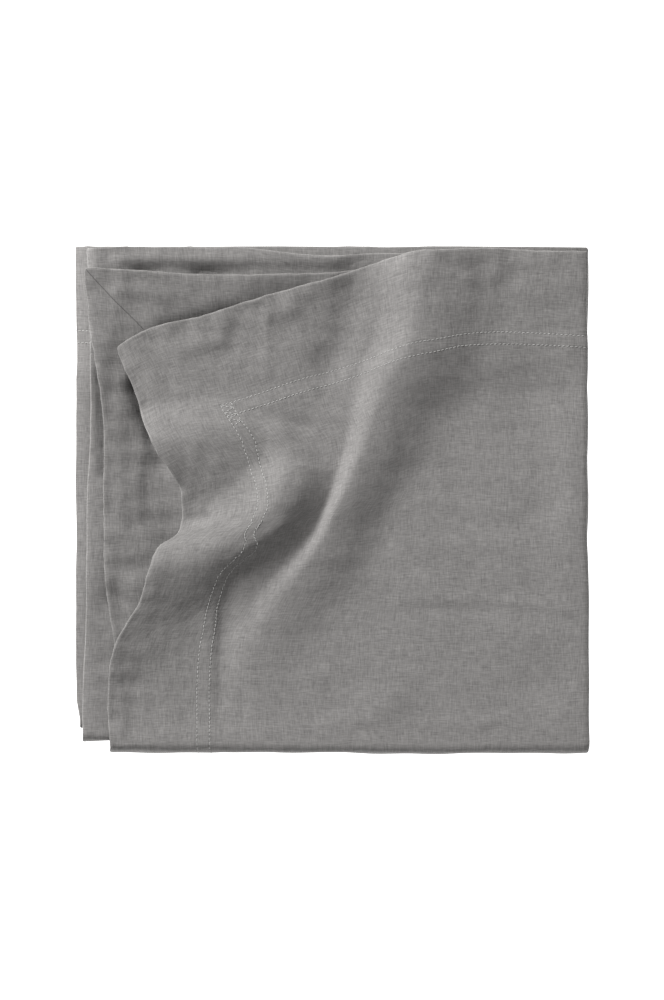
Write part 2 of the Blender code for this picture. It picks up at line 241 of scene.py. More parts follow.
# Soft creases of the layers that show: a line, its height, less than nothing for a dip, and its width
TOP_CREASES = (
    # start x, start y, end x, end y, height, width
    # The crease across the lower right, lit along its far side
    (45, -71, 95, -70.5, 0.35, 3),
    (95, -70.5, 128, -72.5, 0.45, 3.2),
    (128, -72.5, 170, -77.5, 0.5, 3.2),
    (60, -76.5, 168, -83, -0.3, 4),
    # The rolled fold's lip over the valley
    (-34, -17, -72, -42, 0.9, 4),
    # The crease beside the side hem, and a shorter one next to it
    (-79, -74, -79.5, -148, -0.4, 2.6),
    (-73, -72, -74.5, -140, -0.8, 8),
    (-62, -130, -64, -156, -0.4, 3),
    # The corner, which droops
    (-158, 112, -151, 101, -1.6, 9),
    # The upright crease over the far hem
    (-51.5, 135, -51.5, 84, -0.35, 3.2),
    (-47, 132, -46, 88, 0.25, 3.2),
    # Bumps and dips along the far hem
    (-104, 107, -80, 113, 1.3, 8),
    (-68, 122, -70, 104, -0.8, 5),
    (-44, 132, -30, 136, 1.1, 7),
    (-32, 119, -8, 120, -0.7, 6),
    (20, 152, 34, 156, 0.5, 6),
    # The dip under the far hem's rows of stitches, and the dimple below it
    (-42, 57, -16, 53, -1.1, 5),
    (-40, 84, -24, 82, -0.9, 7),
    # The pucker in the side hem, beside the edge
    (-106, -3, -93, -3, 0.9, 5.5),
    (-102, -14.5, -88, -12, -0.9, 3.5),
    (-89, -3, -87, -12, -0.6, 3),
    (-96, 33, -84, 14, 0.3, 2.5),
    (-81, 30, -74, 13, 0.3, 2.5),
    # Soft bands and bulges of the flat part
    (124, 160, 170, 160, -0.4, 5),
    (124, 148, 170, 147, 0.4, 5),
    (124, 101, 172, 100, 1, 14),
    (140, 76, 176, 74, -0.7, 12),
    (168, 40, 172, -4, 0.7, 9),
    (44, -142, 30, -150, 1.6, 16),
    (60, 0, 128, -8, 0.45, 6),
    (52, -33, 140, -30, 0.45, 8),
    (110, -50, 165, -54, 0.3, 6),
    # Ripples over the near fold
    (98, -168, 118, -160, -0.6, 3),
    (124, -166, 138, -163, -0.55, 3),
    (104, -160, 122, -154, 0.45, 4),
    (-6, -160, 6, -152, 0.5, 6),
    (-30, -158, -20, -160, 0.5, 6),
    (20, -164, 40, -158, -0.4, 5),
)
SECOND_CREASES = (
    # Upright flutes
    (-144, 44, -143, 22, -0.4, 3.5),
    (-138, 30, -136, -24, 0.4, 4),
    (-130, 16, -129, -12, -0.45, 3.5),
    (-124, 12, -121, -24, 0.35, 4),
    (-143, -2, -140, -26, -0.35, 3.5),
    # The springy corner
    (-173, 162, -168, 158, 0.5, 5),
)
THIRD_CREASES = (
    (-168, -100, -168.5, -160, 0.6, 5),
    (-159, 66, -155, 50, -0.6, 6),
)
# Rises and hollows that the layers beneath share, with the same columns
TOP_PRESSES = (
    # The hollow at the upper left foot of the long ridge
    (28, 172, 1, 98, -3, 14),
    (-2, 96, -6, 60, -1.4, 16),
    # The long tail of its other side
    (122, 200, 108, 112, 2.4, 46),
    # The lower end of the valley, which runs out into an upright crease
    (-72, -66, -78, -106, -1.2, 8),
)
SECOND_PRESSES = (
    # Along the top layer's side hem
    (-134, 80, -124.5, 46, -5.5, 7),
    (-129, 60, -117, 26, -2.4, 7),
    (-152, 62, -146, 54, -0.8, 8),
    (-135, 76, -110, -24, -5.4, 23),
    # Along its far edge
    (-114, 121, -68, 133, -1.2, 6),
    (-146, 107, -120, 117, -1, 5),
    (-110, 118, -16, 150, -2.4, 12),
    # Dips across the side hem, and the fall towards the top layer's edge
    (-152, -69, -137, -77, -2.8, 12),
    (-156, -50, -134, -48, -1.2, 7),
    (-162, -104, -160, -160, -3.2, 34),
    (-158, 38, -146, 40, -0.6, 6),
    # Under the lower end of the top layer's valley
    (-80, -90, -84, -150, -1.8, 18),
)
THIRD_PRESSES = (
    # The springy fold, which droops
    (-177, 180, -175.4, 104, -3.4, 7),
    (-177, 70, -178, -160, -0.5, 6),
    # Along the second layer's far hem
    (-135, 160, -124, 159.5, -2.4, 4.5),
    (-92, 158.5, -81, 158, -2.4, 5),
    (-110, 158.5, 9, 160, -1.2, 5),
    (-150, 169, 0, 169, 0.8, 4),
    # Along its side hem
    (-164.5, 112, -158.5, 20, -2.4, 5.5),
)
LOWEST_PRESSES = (
    # The springy fold, which droops
    (-184.5, 190, -184.5, -150, -1.5, 7),
    (-184.5, 190, -184.5, 100, -3.6, 8),
)
# Ripples of the layers that show: a patch's size in X and in Y, its height, and how far in from the
# hem it reaches, or nothing where it covers the layer
TOP_RIPPLES = (
    (60, 42, 1.2, 0), (42, 9, 0.3, 0), (9, 40, 0.18, 0), (11, 30, 0.8, 72), (26, 10, 0.75, 72),
)
SECOND_RIPPLES = ((8, 40, 1, 0), (30, 10, 0.9, 0))
THIRD_RIPPLES = ((8, 60, 0.7, 0), (60, 10, 1.1, 0))
# The layers that show, by panel and block, with how far in from their left and far edges they show,
# their creases, their ripples and what the layers beneath share with them
Layer = namedtuple("Layer", "panel block shows creases ripples presses")
LAYERS = (
    Layer(0, 0, 400, TOP_CREASES, TOP_RIPPLES, TOP_PRESSES),
    Layer(3, 0, 60, SECOND_CREASES, SECOND_RIPPLES, SECOND_PRESSES),
    Layer(2, 0, 20, THIRD_CREASES, THIRD_RIPPLES, THIRD_PRESSES),
    Layer(1, 3, 20, (), THIRD_RIPPLES, LOWEST_PRESSES),
)
# How far in from there their creases and ripples fade out, under the layer above
COVER_FADE = 16.0
# The least share of its thickness that the cloth is pressed to beneath the top layer
LEAST_PRESSED = 0.35
# Where the whole packet is thicker, because hems and springy folds lie on each other, with the share
# that is added in place of the height
SWELLS = (
    (-170, 180, -170, -50, 0.2, 50),
    (-170, -110, -170, -180, 0.07, 40),
    (-180, 180, 180, 180, 0.14, 50),
    (-180, 180, 0, 180, 0.16, 50),
    (180, 180, 180, -180, 0.04, 30),
    (-180, -180, 180, -180, 0.06, 30),
)
# The share of a panel or block over which a layer's relief fades out before its folds
FOLD_FADE = 0.05

# How far the top layer's hems are taken up, as shares, or drawn out where less than nothing: the far one
# at places across the cloth and the side one at places along it
FAR_HEM_SLACK = ((-160, -0.085), (70, -0.07), (90, -0.02), (130, 0))
SIDE_HEM_SLACK = (
    (-172, -0.055), (-114, -0.05), (-94, -0.036), (-87, 0), (-74, 0.11), (-68, 0.145), (-61, 0.145),
    (-53, 0.12), (-44, 0), (-36, -0.1), (-29, -0.1), (-21, -0.01), (-14, 0.09), (-6.5, 0.065),
    (2, 0.064), (12, 0.075), (19, 0.115), (27, 0.11), (35, 0.07), (42, 0.015), (49, 0), (56, 0.025),
    (64, 0.055), (76, 0.065),
)
# How far in from the edge that starts to fade out, and over what distance
SLACK_FADE = (80.0, 150.0)
# Where along a panel or block the weave goes over from lying straight beside its start to its end, as
# the place where that starts and the share that it takes
WEAVE_TURN = (0.25, 0.5)
# How far the layers stray together, and over what distances in the plan and in height
STRAY = (1.0, 1.0, 0.3)
STRAY_SIZE = 34.0
STRAY_DEPTH = 9.0
# Without a seed the noise would differ from run to run
STRAY_SEED = 2
# How round the cloth's corners are, and how many grid lines away their directions are taken
CORNER_RADIUS = 4.5
CORNER_STEPS = 4
# How far the hems' edges wander, over what distance and how far in
EDGE_STRAY = (0.5, 0.5, 0.4)
EDGE_STRAY_SIZE = 5.0
EDGE_STRAY_REACH = 7.0
# How thick the hems' rounded edges start, as the square of a share
EDGE_START = 0.12
# How closely the wear and the painted highlight keep to the middle of a fold
WEAR_HIGHLIGHT_POWER = 4
# Rounds in which a place on the flat cloth is found in the grid
LOCATE_ROUNDS = 6

# From here on in metres. How far to each side of the hem's inner edge the cloth goes from double to
# single.
HEM_FADE = 0.006
# Where the short zigzag that closes the corner turns, as distances from the far edge
ZIGZAG = (0.0595, 0.0625, 0.0645, 0.0675, 0.0695, 0.0725, 0.0745)
# How far the rows that show on the lowest layer run, from its fold
LOWEST_ROWS = (-0.03, 0.01)
# A stitch: its length as shares of the pitch and its slant in degrees, each from the least to the most,
# its height as a share of its width, and its middle's height as a share of the hem's thickness
STITCH_FILL = (0.72, 0.86)
STITCH_SLANT = (2.0, 12.0)
STITCH_HEIGHT = 0.8
STITCH_RAISE = 0.52
STITCH_SEED = 4

# The threads' widths and their slubs' lengths, in the weave's streaks
THREADS = ((0.0005, 0.005), (0.001, 0.012))
MOTTLE_SIZE = 0.03
GATHER_SIZE = (0.006, 0.012)
# Where the hem's inner edge, a row's dent and its end, the frayed edge with its painted highlight and
# the mitre seam fade out
HEM_BLUR = 0.004
ROW_WIDTH = 0.0011
ROW_END = 0.001
FRAYED_EDGE_AND_HIGHLIGHT = (0.0009, 0.0001)
SEAM_EDGES = (0.0005, 0.0001)
# The size of the frayed spots of wear and painted highlight, and the noise from which they start and
# where they are full
FRAY_HIGHLIGHT_SIZE = 0.002
FRAY_HIGHLIGHT_NOISE = (0.35, 0.6)
# How much the linen's colour varies, up and down
TONE_RANGE = 0.3
# What each pattern adds to the linen's height, in millimetres, and to its tone
Pattern = namedtuple("Pattern", "height tone")
WEAVE = Pattern(0.12, 3.8)
MOTTLE = Pattern(0.3, 0.25)
GATHER = Pattern(0.35, 0.0)
DOUBLE = Pattern(0.03, 0.0)
# The next pattern lightens the frayed edge and the folds, partly as wear and partly as painted highlight
WORN_AND_HIGHLIT = Pattern(0.0, 0.25)
# The rows' tone is painted shade in their dents
ROW = Pattern(-0.1, -0.08)
SEAM = Pattern(-0.3, -1.4)

# The stage: half the floor's side, and the key light's distance and size
FLOOR_HALF = 6.0
KEY_DISTANCE = 4.5
KEY_SIZE = 1.85


def smooth_curve(points):
    """Samples of a smooth curve that turns only at its points, even along its length in X and Y."""
    rows = np.array(points, float)
    lengths = np.hypot(*np.diff(rows[:, :2], axis=0).T)
    knots = np.concatenate(([0.0], np.cumsum(lengths)))
    slopes = np.diff(rows, axis=0) / lengths[:, None]
    both = slopes[:-1] * slopes[1:]
    inner = np.where(both > 0, 2 * both / np.where(both > 0, slopes[:-1] + slopes[1:], 1.0), 0.0)
    tangents = np.concatenate((slopes[:1], inner, slopes[-1:]))
    places = np.linspace(0.0, knots[-1], CURVE_SAMPLES)
    index = np.clip(np.searchsorted(knots, places) - 1, 0, len(lengths) - 1)
    span = lengths[index][:, None]
    t = (places - knots[index])[:, None] / span
    return (
        rows[index] * (1 + 2 * t) * (1 - t) ** 2
        + tangents[index] * span * t * (1 - t) ** 2
        + rows[index + 1] * t**2 * (3 - 2 * t)
        + tangents[index + 1] * span * t**2 * (t - 1)
    )


def line_position(line, axis, amounts):
    """A line's X or Y at amounts from 0 to 1 of the way along the other axis."""
    if np.isscalar(line):
        return np.full(len(amounts), line)
    curve = smooth_curve(line)
    other = curve[:, 1 - axis]
    return np.interp(amounts, (other - other[0]) / (other[-1] - other[0]), curve[:, axis])


class Stations:
    """The grid lines in one direction. Each has the run it lies on, or the one before its fold, its
    place from 0 to 1 along that run, and its turn from 0 to 1 round the fold after it."""

    def __init__(self, grades):
        runs, places, turns = [], [], []
        last = len(grades) - 1
        for run, (steps, first_share) in enumerate(grades):
            even = np.linspace(0.0, 1.0, steps + 1)
            graded = list(even * (first_share + (1 - first_share) * even))
            if run == 0:
                graded[1:1] = EDGE_PLACES
            if run == last:
                graded[-1:-1] = [1 - place for place in reversed(EDGE_PLACES)]
            runs += [run] * len(graded)
            places += graded
            turns += [0.0] * len(graded)
            if run < last:
                runs += [run] * (TURN_STEPS - 1)
                places += [1.0] * (TURN_STEPS - 1)
                turns += list(np.linspace(0.0, 1.0, TURN_STEPS + 1)[1:-1])
        self.run = np.array(runs)
        self.place = np.array(places)
        self.turn = np.array(turns)
        self.next_run = np.minimum(self.run + 1, last)
        self.turned = (1 - np.cos(np.pi * self.turn)) / 2
        self.bulge = np.sin(np.pi * self.turn)
        self.backward = self.run % 2 == 1

    def on(self, run, turning=False):
        """The stations that lie on a run, or on the fold after it."""
        return np.flatnonzero((self.run == run) & ((self.turn > 0) == turning))

    def blend(self, values):
        """Values given for each run, carried round the folds between them."""
        values = np.asarray(values, float)
        return values[self.run] * (1 - self.turned) + values[self.next_run] * self.turned

    def line_positions(self, lines, axis):
        """Where each line lies at every station, carried round the folds from run to run."""
        positions = []
        for line in lines:
            here = np.zeros(len(self.run))
            starts = np.zeros(len(line))
            for run, part in enumerate(line):
                on_run = self.run == run
                place = self.place[on_run]
                here[on_run] = line_position(part, axis, 1 - place if run % 2 else place)
                starts[run] = line_position(part, axis, np.array([run % 2]))[0]
            positions.append(here * (1 - self.turned) + starts[self.next_run] * self.turned)
        return np.array(positions)

    def flat_on(self, run):
        """The stations that lie on a run, and how far each is from fading into the folds beside it."""
        found = self.on(run)
        place = self.place[found]
        clear = np.ones(len(found))
        if run > 0:
            clear = np.minimum(clear, place / FOLD_FADE)
        if run < self.run[-1]:
            clear = np.minimum(clear, (1 - place) / FOLD_FADE)
        return found, smooth_step(clear)


def smooth_step(amount):
    """From 0 to 1 with a soft start and end."""
    amount = np.clip(amount, 0.0, 1.0)
    return amount * amount * (3 - 2 * amount)


def between(lines, stations):
    """The way from the line where each station's run starts to the line where it ends."""
    place = stations.place[:, None]
    return lines[stations.run] * (1 - place) + lines[stations.run + 1] * place


def folded_sheet(across, along):
    """X, Y and Z of the folded sheet's middle surface, before its top layer is drawn aside."""
    level = across.blend(PANEL_LEVELS)[:, None] * PITCH
    fold_height = np.append(np.abs(np.diff(PANEL_LEVELS)) * ACROSS_FOLD_REACH, 0.0)[across.run] * PITCH
    rightward = np.where(across.backward, -1, 1)
    x = between(along.line_positions(ACROSS_LINES, X), across)
    x = x + (rightward * across.bulge * fold_height / 2)[:, None]

    face = np.array(BLOCK_FACES)[along.run]
    climb = np.append(np.diff(BLOCK_LEVELS), 0.0)[along.run] * PITCH
    reach = np.append(ALONG_FOLD_REACH, 0.0)[along.run]
    farward = np.where(along.backward, 1, -1)
    radius = np.abs(climb) / 2 - np.sign(face * climb) * level
    y = between(across.line_positions(ALONG_LINES, Y), along).T
    y = y + farward * along.bulge * reach * radius

    z = LOWEST_MIDDLE + (along.blend(BLOCK_LEVELS) - BLOCK_LEVELS[1] + PANEL_LEVELS[0]) * PITCH
    z = z + face * np.cos(np.pi * along.turn) * level
    return np.stack([x, y, z])


def ridge_shift(ridge, x, y):
    """How far a ridge moves each point of the top layer in X, Y and Z."""
    crest_x, crest_y, height, *sides = smooth_curve(ridge.crest).T
    crest_x = crest_x - ridge.lean_x * height
    crest_y = crest_y - ridge.lean_y * height
    nearest = np.argmin((x[..., None] - crest_x) ** 2 + (y[..., None] - crest_y) ** 2, axis=-1)
    heading = np.stack([np.gradient(crest_x), np.gradient(crest_y)])
    heading = (heading / np.hypot(*heading))[:, nearest]
    aside = heading[X] * (y - crest_y[nearest]) - heading[Y] * (x - crest_x[nearest])
    reach_left, fall_left, reach_right, fall_right = (side[nearest] for side in sides)
    away = np.clip(np.abs(aside) / np.where(aside < 0, reach_left, reach_right), 0, 1)
    lift = height[nearest] * np.cos(away * np.pi / 2) ** np.where(aside < 0, fall_left, fall_right)
    return np.stack([ridge.lean_x * lift, ridge.lean_y * lift, lift])


def crease_lift(creases, x, y):
    """The height of a table of soft creases, each even along its line and fading out round it."""
    lift = np.zeros_like(x)
    for start_x, start_y, end_x, end_y, height, width in creases:
        line_x, line_y = end_x - start_x, end_y - start_y
        place = ((x - start_x) * line_x + (y - start_y) * line_y) / (line_x**2 + line_y**2)
        place = np.clip(place, 0, 1)
        away = np.hypot(x - start_x - place * line_x, y - start_y - place * line_y)
        lift += height * np.exp(-((away / width) ** 2))
    return lift


def ripple_lift(ripples, x, y, from_hem, seed):
    """The height of uneven ripples, over a whole layer or only beside its hem."""
    size_x, size_y, height, reach = ripples
    waves = [noise.noise((px / size_x, py / size_y, seed)) for px, py in zip(x.ravel(), y.ravel())]
    lift = height * np.array(waves).reshape(x.shape)
    return lift * (1 - smooth_step(from_hem / reach)) if reach else lift


def lengths_along(points, direction):
    """How far each point lies along the cloth from its first edge, by the lengths between the points."""
    steps = np.linalg.norm(np.diff(points, axis=1 + direction), axis=0)
    lengths = np.cumsum(steps, axis=direction)
    return np.insert(lengths, 0, 0.0, axis=direction)


def evened(lengths, stations):
    """Lengths made even along the start and the end of each run, so that the weave is straight there."""
    even = lengths.copy()
    for run in range(stations.run[-1] + 1):
        inside, flat = np.flatnonzero(stations.run == run), stations.on(run)
        to_start, to_end = (lengths[line].mean() - lengths[line] for line in (flat[0], flat[-1]))
        share = smooth_step((stations.place[inside] - WEAVE_TURN[0]) / WEAVE_TURN[1])[:, None]
        even[inside] += to_start * (1 - share) + to_end * share
    return even


class Cloth:
    """The cloth's middle surface: its points, its normals, and each point's place on the flat cloth.
    Arrays run over the grid's columns, across the cloth, and rows, along it, in millimetres."""

    def __init__(self):
        self.across = Stations(PANEL_GRADES)
        self.along = Stations(BLOCK_GRADES)
        self.points = folded_sheet(self.across, self.along)
        self.level = self.points[Z].copy()
        self.draw_aside()
        self.measure()
        for number, layer in enumerate(LAYERS):
            self.shape_layer(layer, number)
        self.points[Z] *= 1 + crease_lift(SWELLS, *self.points[:2])
        self.round_corners()
        self.soften()
        across_way, along_way = (np.gradient(self.points, axis=axis) for axis in (1, 2))
        normals = np.cross(along_way, across_way, axis=0)
        self.normals = normals / np.linalg.norm(normals, axis=0)

    def measure(self):
        """Works out each point's place on the flat cloth, and how far it is from the nearest hems."""
        self.u, self.v = (lengths_along(self.points, direction) for direction in (0, 1))
        self.weave_u = evened(self.u, self.across)
        self.weave_v = evened(self.v.T, self.along).T
        self.down = self.slackened(self.v, self.points[X], FAR_HEM_SLACK)
        self.aside = self.slackened(self.u, self.points[Y], SIDE_HEM_SLACK)
        self.from_side = np.minimum(self.aside, self.aside[-1:] - self.aside)
        self.from_end = np.minimum(self.down, self.v[:, -1:] - self.v)
        self.from_edge = np.minimum(self.from_side, self.from_end)

    def slackened(self, lengths, places, slack):
        """Lengths from the cloth's edge, with the top layer's hem taken up."""
        taken = np.interp(places, *zip(*slack)) * (self.along.run == 0)
        start, reach = SLACK_FADE
        return lengths * (1 + taken * (1 - smooth_step((lengths - start) / reach)))

    def area_of(self, layer):
        """The grid lines of one panel of one block, and how much its relief fades towards its folds."""
        columns, clear_across = self.across.flat_on(layer.panel)
        rows, clear_along = self.along.flat_on(layer.block)
        return np.ix_(columns, rows), clear_across[:, None] * clear_along

    def shape_layer(self, layer, seed):
        """Adds a layer's creases and ripples, and presses the layers beneath with it."""
        area, clear = self.area_of(layer)
        level = self.level[area].mean()
        depth = np.where(self.level < level + PITCH / 2, self.level / level, 0.0)
        self.points[Z] += crease_lift(layer.presses, *self.points[:2]) * depth
        x, y = self.points[X][area], self.points[Y][area]
        lift = crease_lift(layer.creases, x, y)
        for number, ripples in enumerate(layer.ripples):
            lift += ripple_lift(ripples, x, y, self.from_edge[area], 10 * seed + number)
        inside = np.minimum(x - x.min(axis=0), y.max(axis=1)[:, None] - y)
        covered = smooth_step((inside - layer.shows) / COVER_FADE)
        self.points[Z][area] += lift * clear * (1 - covered)

    def draw_aside(self):
        """Draws the top layer aside into its ridges."""
        (columns, rows), _ = self.area_of(LAYERS[0])
        area = (slice(None), columns, rows)
        shift = sum(ridge_shift(ridge, *self.points[area][:2]) for ridge in RIDGES)
        shift[:2] *= np.clip(self.across.place[columns] / LEAN_START, 0, 1)
        self.points[area] += shift
        turning = self.across.on(0, turning=True)[:, None]
        self.points[:, turning, rows] += shift[:, -1:] * (1 - self.across.turned[turning])

    def round_corners(self):
        """Draws the cloth's four corners in, from square to round."""
        for column, row in ((0, 0), (-1, 0), (0, -1), (-1, -1)):
            corner = self.points[:, column, row].copy()
            near = np.linalg.norm(self.points - corner[:, None, None], axis=0) < CORNER_RADIUS * 2
            near &= (self.from_side < CORNER_RADIUS) & (self.from_end < CORNER_RADIUS)
            across, along = (1 - edge[near] / CORNER_RADIUS for edge in (self.from_side, self.from_end))
            ways = (
                self.points[:, column - CORNER_STEPS if column else CORNER_STEPS, row] - corner,
                self.points[:, column, row - CORNER_STEPS if row else CORNER_STEPS] - corner,
            )
            shares = across * (1 - np.sqrt(1 - along**2 / 2)), along * (1 - np.sqrt(1 - across**2 / 2))
            for way, share in zip(ways, shares):
                self.points[:, near] += CORNER_RADIUS * share * (way / np.linalg.norm(way))[:, None]

    def soften(self):
        """Lets each layer stray a little, together with the layers beside it, and the edges more."""
        noise.seed_set(STRAY_SEED)
        stray = np.array([
            noise.noise_vector((x / STRAY_SIZE, y / STRAY_SIZE, z / STRAY_DEPTH))
            for x, y, z in self.points.reshape(3, -1).T
        ]).T.reshape(self.points.shape)
        stray[Z] *= smooth_step(self.points[Z] / STRAY_DEPTH)
        self.points += stray * np.array(STRAY)[:, None, None]
        near = self.from_edge < EDGE_STRAY_REACH
        places = self.points[:, near].T / EDGE_STRAY_SIZE
        stray = np.array([noise.noise_vector(place) for place in places]).T
        stray *= 1 - smooth_step(self.from_edge[near] / EDGE_STRAY_REACH)
        self.points[:, near] += stray * np.array(EDGE_STRAY)[:, None]

    def locate(self, from_side, from_end):
        """The grid position, in whole columns and rows and parts of them, of a place on the flat cloth.
        Less than nothing from the end counts from the other end."""
        column = row = 0.0
        for _ in range(LOCATE_ROUNDS):
            column = np.interp(from_side, self.aside[:, round(row)], np.arange(self.aside.shape[0]))
            down = self.down[round(column)]
            wanted = from_end if from_end > 0 else down[-1] + from_end
            row = np.interp(wanted, np.maximum.accumulate(down), np.arange(len(down)))
        return column, row

    def ends_of_top(self):
        """How far the top layer's rows of stitches run, round the folds that show, in metres."""
        past_fold, under = self.across.on(1)[0], self.along.on(1)[-1]
        return self.u[past_fold, 0] * MM, self.v[0, under] * MM

    def lowest_fold(self):
        """How far the fold at the lowest layer's left side is from the first hem, in metres."""
        return self.u[self.across.on(1, turning=True)[0], -1] * MM

    def at(self, values, column, row):
        """Values between the grid's points, at part columns and rows."""
        column, row = np.asarray(column, float), np.asarray(row, float)
        i = np.clip(column.astype(int), 0, values.shape[-2] - 2)
        j = np.clip(row.astype(int), 0, values.shape[-1] - 2)
        s, t = column - i, row - j
        return (
            values[..., i, j] * (1 - s) * (1 - t)
            + values[..., i + 1, j] * s * (1 - t)
            + values[..., i, j + 1] * (1 - s) * t
            + values[..., i + 1, j + 1] * s * t
        )


class TableclothSettings(bpy.types.PropertyGroup):
    """The cloth's sizes and colours."""

    single_thickness: FloatProperty(
        name="Cloth thickness", description="Thickness of one layer of linen",
        default=0.0006, min=0.0002, max=0.0012, unit="LENGTH", precision=4,
    )
    hem_thickness: FloatProperty(
        name="Hem thickness", description="Thickness of the hem, where the linen lies double",
        default=0.0012, min=0.0004, max=0.0014, unit="LENGTH", precision=4,
    )
    hem_depth: FloatProperty(
        name="Hem depth", description="From the cloth's edge to the hem's inner edge",
        default=0.070, min=0.01, max=0.1, unit="LENGTH",
    )
    outer_row: FloatProperty(
        name="Outer row", description="From the cloth's edge to the outer row of stitches",
        default=0.059, min=0.005, max=0.09, unit="LENGTH",
    )
    inner_row: FloatProperty(
        name="Inner row", description="From the cloth's edge to the inner row of stitches",
        default=0.0672, min=0.006, max=0.095, unit="LENGTH",
    )
    stitch_pitch: FloatProperty(
        name="Stitch length", description="From one stitch's start to the next one's",
        default=0.003, min=0.0015, max=0.006, unit="LENGTH", precision=4,
    )
    thread_width: FloatProperty(
        name="Thread width", description="Width of the sewing thread as it lies on the cloth",
        default=0.0007, min=0.0002, max=0.001, unit="LENGTH", precision=5,
    )
    linen_color: FloatVectorProperty(
        name="Linen", description="Colour of the washed linen", subtype="COLOR", size=4,
        default=(0.212, 0.205, 0.2, 1.0), min=0.0, max=1.0,
    )
    thread_color: FloatVectorProperty(
        name="Thread", description="Colour of the sewing thread", subtype="COLOR", size=4,
        default=(0.4, 0.395, 0.385, 1.0), min=0.0, max=1.0,
    )


class TableclothStageSettings(bpy.types.PropertyGroup):
    """The floor, the lights and the camera."""

    floor_color: FloatVectorProperty(
        name="Floor", description="Colour of the floor", subtype="COLOR", size=4,
        default=(0.9, 0.9, 0.9, 1.0), min=0.0, max=1.0,
    )
    floor_glow: FloatProperty(
        name="Floor glow", description="How far the pale floor is lit from behind",
        default=1.3, min=0.0, max=3.0,
    )
    key_power: FloatProperty(
        name="Key light", description="Power of the large soft light at the upper left",
        default=350.0, min=0.0, max=5000.0, unit="POWER",
    )
    key_height: FloatProperty(
        name="Key height", description="Angle of the key light above the floor",
        default=radians(27.0), min=0.0, max=pi / 2, unit="ROTATION", subtype="ANGLE",
    )
    key_side: FloatProperty(
        name="Key side", description="Angle of the key light round the cloth, from its left side",
        default=radians(45.0), min=-pi, max=pi, unit="ROTATION", subtype="ANGLE",
    )
    fill_strength: FloatProperty(
        name="Fill", description="Strength of the even light from all round",
        default=0.36, min=0.0, max=2.0,
    )
    camera_height: FloatProperty(
        name="Camera height", description="From the floor up to the camera",
        default=3.5, min=0.5, max=10.0, unit="LENGTH",
    )
    view_height: FloatProperty(
        name="View", description="Height of the picture at the cloth's top layer",
        default=0.706, min=0.1, max=5.0, unit="LENGTH",
    )


class Field:
    """A value that changes over a surface. Arithmetic on it adds the nodes that work it out."""

    def __init__(self, finish, socket):
        self.finish = finish
        self.socket = socket

    def math(self, operation, *others):
        values = dict(enumerate((self, *others)))
        return self.finish.node("ShaderNodeMath", {"operation": operation}, values)

    def __add__(self, other):
        return self.math("ADD", other)

    def __sub__(self, other):
        return self.math("SUBTRACT", other)

    def __mul__(self, other):
        return self.math("MULTIPLY", other)

    def __truediv__(self, other):
        return self.math("DIVIDE", other)

    def __abs__(self):
        return self.math("ABSOLUTE")

    def lower_of(self, other):
        return self.math("MINIMUM", other)

    def rise(self, start, end):
        """From 0 at start to 1 at end, softly; start may be the higher one."""
        return self.finish.node(
            "ShaderNodeMapRange", {"interpolation_type": "SMOOTHSTEP"},
            {"Value": self, "From Min": start, "From Max": end},
        )

    def line(self, place, width):
        """1 along a line at a place, and 0 from a width away on both sides."""
        return abs(self - place).rise(width, 0.0)


class Finish:
    """A material under construction."""

    def __init__(self, name):
        self.material = bpy.data.materials.new(name)
        self.material.use_nodes = True
        self.tree = self.material.node_tree
        self.tree.nodes.clear()

    def node(self, kind, settings, inputs, output=0):
        """Adds a node with its settings, then its values and links, and gives one of its outputs."""
        node = self.tree.nodes.new(kind)
        for name, value in settings.items():
            setattr(node, name, value)
        for socket, value in inputs.items():
            if isinstance(value, Field):
                self.tree.links.new(value.socket, node.inputs[socket])
            else:
                node.inputs[socket].default_value = value
        return Field(self, node.outputs[output]) if node.outputs else None

    def pair(self, uv_map):
        """The two values of a UV map."""
        place = self.node("ShaderNodeUVMap", {"uv_map": uv_map}, {})
        return [self.node("ShaderNodeSeparateXYZ", {}, {"Vector": place}, axis) for axis in (X, Y)]

    def streaks(self, across, along, width, length, seed, detail=1.0):
        """Noise from 0 to 1 in long thin patches."""
        place = self.node("ShaderNodeCombineXYZ", {}, {X: across / width, Y: along / length, Z: seed})
        return self.node(
            "ShaderNodeTexNoise", {}, {"Vector": place, "Scale": 1.0, "Detail": detail, "Roughness": 0.6}
        )

    def blend(self, low, high, amount):
        """From one colour to another."""
        return self.node("ShaderNodeMix", {"data_type": "RGBA"}, {0: amount, 6: low, 7: high}, 2)

    def surface(self, **inputs):
        """Ends the material with its surface."""
        shader = self.node("ShaderNodeBsdfPrincipled", {}, {
            socket.replace("_", " "): value for socket, value in inputs.items()
        })
        self.node("ShaderNodeOutputMaterial", {}, {"Surface": shader})
        return self.material


def shaded(color, share):
    """A colour made darker or lighter."""
    return (*(share * part for part in color[:3]), 1.0)


